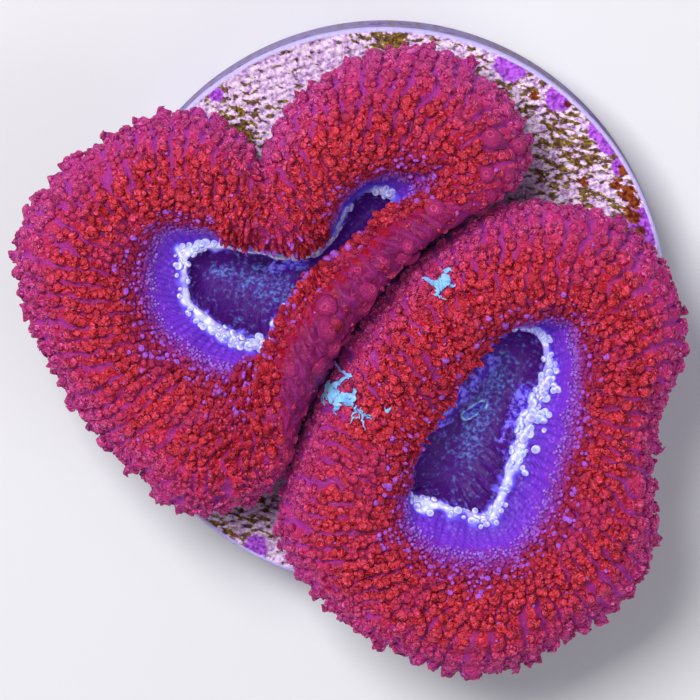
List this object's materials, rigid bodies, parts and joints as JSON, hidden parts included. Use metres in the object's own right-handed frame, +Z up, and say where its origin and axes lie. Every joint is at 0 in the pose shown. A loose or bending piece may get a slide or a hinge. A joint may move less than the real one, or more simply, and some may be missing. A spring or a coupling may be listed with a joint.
{
  "type": "coral frag",
  "caption": "Fleshy Acanthastrea coral on a round ceramic frag disc: a heart-shaped polyp pressed against an oval one, each a lumpy ring of red flesh round a sunken oral disc.",
  "frame": {"origin": "centre of the frag disc's flat underside", "axes": "+Z up out of the disc, +Y towards the notched side of the heart-shaped polyp, +X towards the oval polyp"},
  "size_m": [0.0386, 0.0367, 0.014],
  "materials": {
    "ceramic": "matt, rough and pale, with olive algae film and patches of purple coralline algae",
    "flesh_heart": "wet translucent red flesh with purple valleys and a blue-violet oral disc",
    "flesh_oval": "wet translucent red flesh with purple valleys and a blue-violet oral disc"
  },
  "bodies": {
    "root": {"frag_disc": "ceramic", "polyp_heart": "flesh_heart", "polyp_oval": "flesh_oval"}
  },
  "joints": []
}
